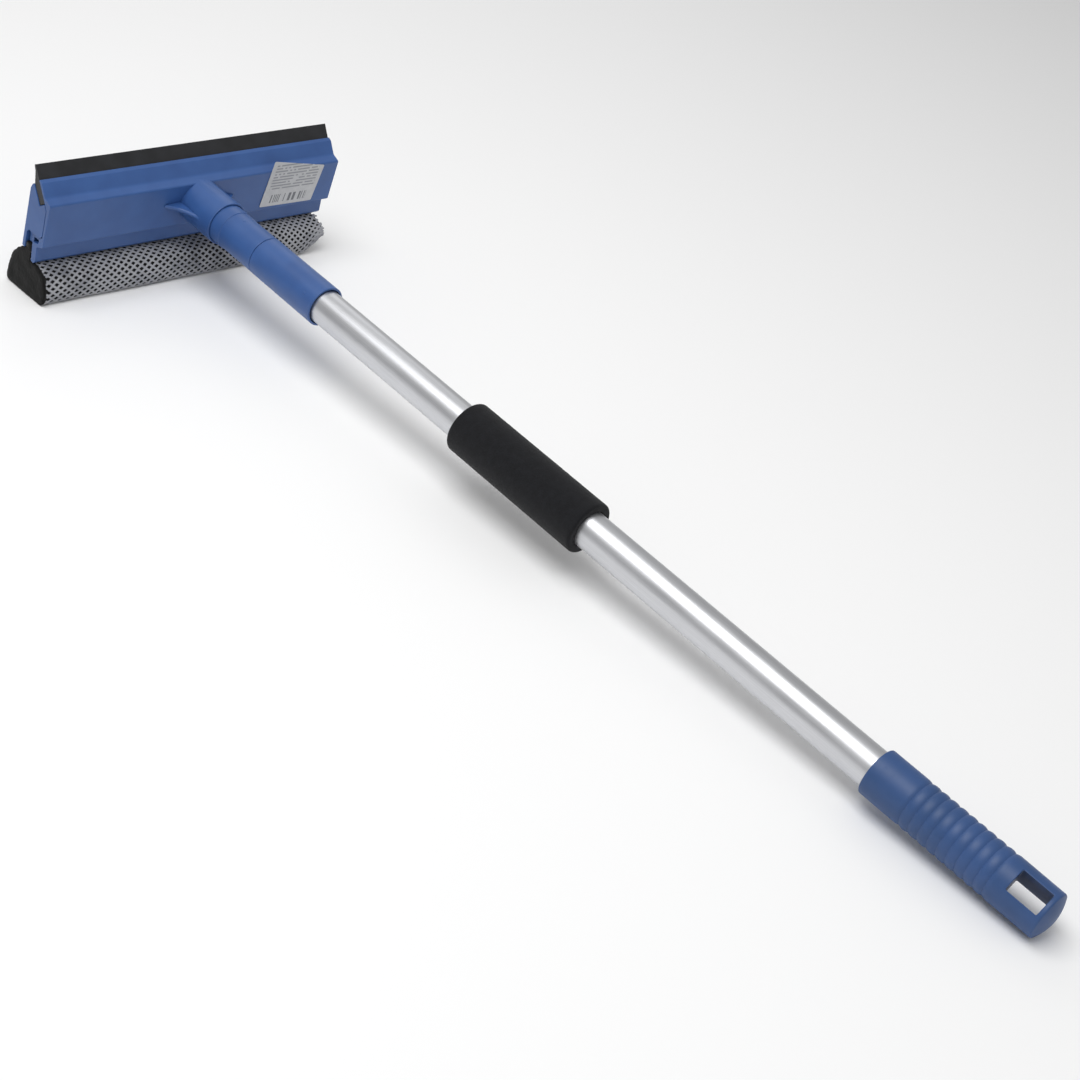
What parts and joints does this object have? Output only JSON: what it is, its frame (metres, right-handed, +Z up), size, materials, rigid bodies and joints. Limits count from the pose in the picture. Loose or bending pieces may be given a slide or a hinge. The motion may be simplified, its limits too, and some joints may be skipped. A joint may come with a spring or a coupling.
{
  "type": "window cleaning squeegee",
  "caption": "Telescopic window squeegee: a head with a rubber blade above and a netted sponge below, on an aluminium pole with a foam sleeve and a slotted end grip.",
  "frame": {"origin": "on the table, under the middle of the tool as it lies down", "axes": "+X along the head, +Y from the end grip towards the head, +Z up off the table"},
  "size_m": [0.224, 0.7092, 0.0848],
  "materials": {
    "blue_plastic": "fine moulded satin, royal blue",
    "grip_plastic": "matte moulded, slightly greyer blue",
    "black_rubber": "smooth extruded rubber",
    "black_foam": "closed-cell foam, matte",
    "grey_netting": "knitted polyester netting",
    "label_paper": "semi-matte paper label",
    "grey_nylon": "moulded nylon",
    "satin_aluminium": "drawn and satin anodised",
    "zinc_steel": "zinc plated"
  },
  "bodies": {
    "handle": {"outer_tube": "satin_aluminium", "ferrule": "blue_plastic", "ferrule_pin": "blue_plastic", "foam_sleeve": "black_foam", "end_grip": "grip_plastic"},
    "cam_ring": {"lock_ring": "grey_nylon"},
    "head": {"front_shell": "blue_plastic", "rear_shell": "blue_plastic", "rubber_blade": "black_rubber", "pad_rail": "blue_plastic", "sponge": "black_foam", "netting": "grey_netting", "label": "label_paper", "shell_screw_1": "zinc_steel", "shell_screw_2": "zinc_steel", "shell_screw_3": "zinc_steel", "shell_screw_4": "zinc_steel", "coupling": "blue_plastic", "coupling_pin": "blue_plastic", "inner_tube": "satin_aluminium", "lock_plug": "grey_nylon", "lock_washer": "grey_nylon", "lock_screw": "zinc_steel"}
  },
  "joints": [
    {"name": "extension", "type": "slide", "parent": "handle", "child": "cam_ring", "axis": [0, 0.9982, 0.0592], "range_m": [0, 0.38]},
    {"name": "twist_lock", "type": "hinge", "parent": "cam_ring", "child": "head", "pos_m": [0, 0.31957, 0.05314], "axis": [0, 0.9982, 0.0592], "range_deg": [-40, 40]}
  ]
}
